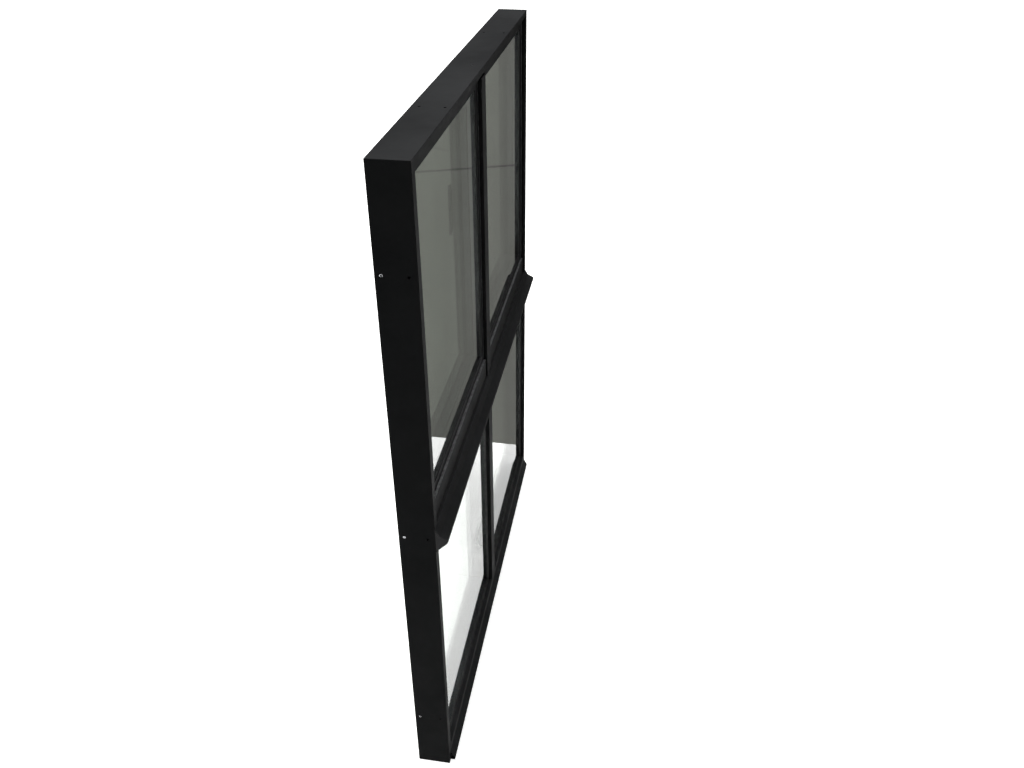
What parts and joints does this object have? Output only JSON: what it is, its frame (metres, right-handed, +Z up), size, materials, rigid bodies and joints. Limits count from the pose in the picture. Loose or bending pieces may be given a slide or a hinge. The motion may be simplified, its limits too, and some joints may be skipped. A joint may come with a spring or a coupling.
{
  "type": "casement window",
  "caption": "Aluminium casement window: inward-opening upper sashes over fixed lower lights, transom weather bar, sealed double glazing, concealed pivots and slim lever handles.",
  "frame": {"origin": "centre of the flat underside of the frame, midway between the outside and room faces of the frame section", "axes": "+X to the right seen from outside, +Y from the outside face towards the room, +Z up"},
  "size_m": [1.2, 0.114, 1.5],
  "materials": {
    "frame_coating": "fine matt powder coat, near black",
    "sash_coating": "fine matt powder coat, near black",
    "hinge_coating": "satin powder coat, near black",
    "handle_coating": "satin powder coat, near black",
    "black_plastic": "matt moulded plastic",
    "packer_plastic": "matt moulded plastic, hidden",
    "seal_rubber": "matt black rubber",
    "stop_seal": "matt grey rubber",
    "glass": "clear float glass",
    "spacer_metal": "dark anodised strip",
    "cleat_metal": "mill finish, hidden",
    "screw_steel": "plated steel",
    "lock_steel": "plated steel"
  },
  "bodies": {
    "frame": {"frame_head": "frame_coating", "frame_jamb_left": "frame_coating", "frame_jamb_right": "frame_coating", "frame_sill": "frame_coating", "transom": "frame_coating", "upper_mullion": "frame_coating", "lower_mullion": "frame_coating", "weather_bar": "frame_coating", "sill_nose": "frame_coating", "lower_glazing_beads": "frame_coating", "weather_bar_end_caps": "black_plastic", "frame_corner_cleats": "cleat_metal", "sill_end_blocks": "cleat_metal", "frame_screws": "screw_steel", "sash_stop_seals": "stop_seal", "lower_glazing_gaskets": "seal_rubber", "lock_keepers": "lock_steel", "pivot_brackets": "hinge_coating", "pivot_pins": "screw_steel", "lower_left_outer_pane": "glass", "lower_left_inner_pane": "glass", "lower_right_outer_pane": "glass", "lower_right_inner_pane": "glass", "lower_glass_spacers": "spacer_metal", "lower_setting_blocks": "packer_plastic"},
    "left_sash": {"left_sash_hinge_stile": "sash_coating", "left_sash_lock_stile": "sash_coating", "left_sash_top_rail": "sash_coating", "left_sash_bottom_rail": "sash_coating", "left_sash_outer_pane": "glass", "left_sash_inner_pane": "glass", "left_sash_glass_spacer": "spacer_metal", "left_sash_gaskets": "seal_rubber", "left_sash_glazing_beads": "sash_coating", "left_sash_setting_blocks": "packer_plastic", "left_sash_corner_cleats": "cleat_metal", "left_handle_base": "handle_coating", "left_lock_gearbox": "lock_steel", "left_lock_rod_guides": "black_plastic"},
    "left_handle": {"left_handle_lever": "handle_coating"},
    "left_lock_rod": {"left_lock_rod": "lock_steel"},
    "right_sash": {"right_sash_hinge_stile": "sash_coating", "right_sash_lock_stile": "sash_coating", "right_sash_top_rail": "sash_coating", "right_sash_bottom_rail": "sash_coating", "right_sash_outer_pane": "glass", "right_sash_inner_pane": "glass", "right_sash_glass_spacer": "spacer_metal", "right_sash_gaskets": "seal_rubber", "right_sash_glazing_beads": "sash_coating", "right_sash_setting_blocks": "packer_plastic", "right_sash_corner_cleats": "cleat_metal", "right_handle_base": "handle_coating", "right_lock_gearbox": "lock_steel", "right_lock_rod_guides": "black_plastic"},
    "right_handle": {"right_handle_lever": "handle_coating"},
    "right_lock_rod": {"right_lock_rod": "lock_steel"}
  },
  "joints": [
    {"name": "left_sash_swing", "type": "hinge", "parent": "frame", "child": "left_sash", "pos_m": [-0.576, 0.033, 1.135], "axis": [0, 0, 1], "range_deg": [0, 90]},
    {"name": "right_sash_swing", "type": "hinge", "parent": "frame", "child": "right_sash", "pos_m": [0.576, 0.033, 1.135], "axis": [0, 0, -1], "range_deg": [0, 90]},
    {"name": "left_handle_turn", "type": "hinge", "parent": "left_sash", "child": "left_handle", "pos_m": [-0.026, 0.046, 1.135], "axis": [0, -1, 0], "range_deg": [0, 180]},
    {"name": "right_handle_turn", "type": "hinge", "parent": "right_sash", "child": "right_handle", "pos_m": [0.026, 0.046, 1.135], "axis": [0, 1, 0], "range_deg": [0, 180]},
    {"name": "left_rod_slide", "type": "slide", "parent": "left_sash", "child": "left_lock_rod", "axis": [0, 0, -1], "range_m": [0, 0.03535]},
    {"name": "right_rod_slide", "type": "slide", "parent": "right_sash", "child": "right_lock_rod", "axis": [0, 0, -1], "range_m": [0, 0.03535]}
  ],
  "couplings": [
    {"joint": "left_rod_slide", "follows": "left_handle_turn", "m_per_rad": 0.01125},
    {"joint": "right_rod_slide", "follows": "right_handle_turn", "m_per_rad": 0.01125}
  ]
}
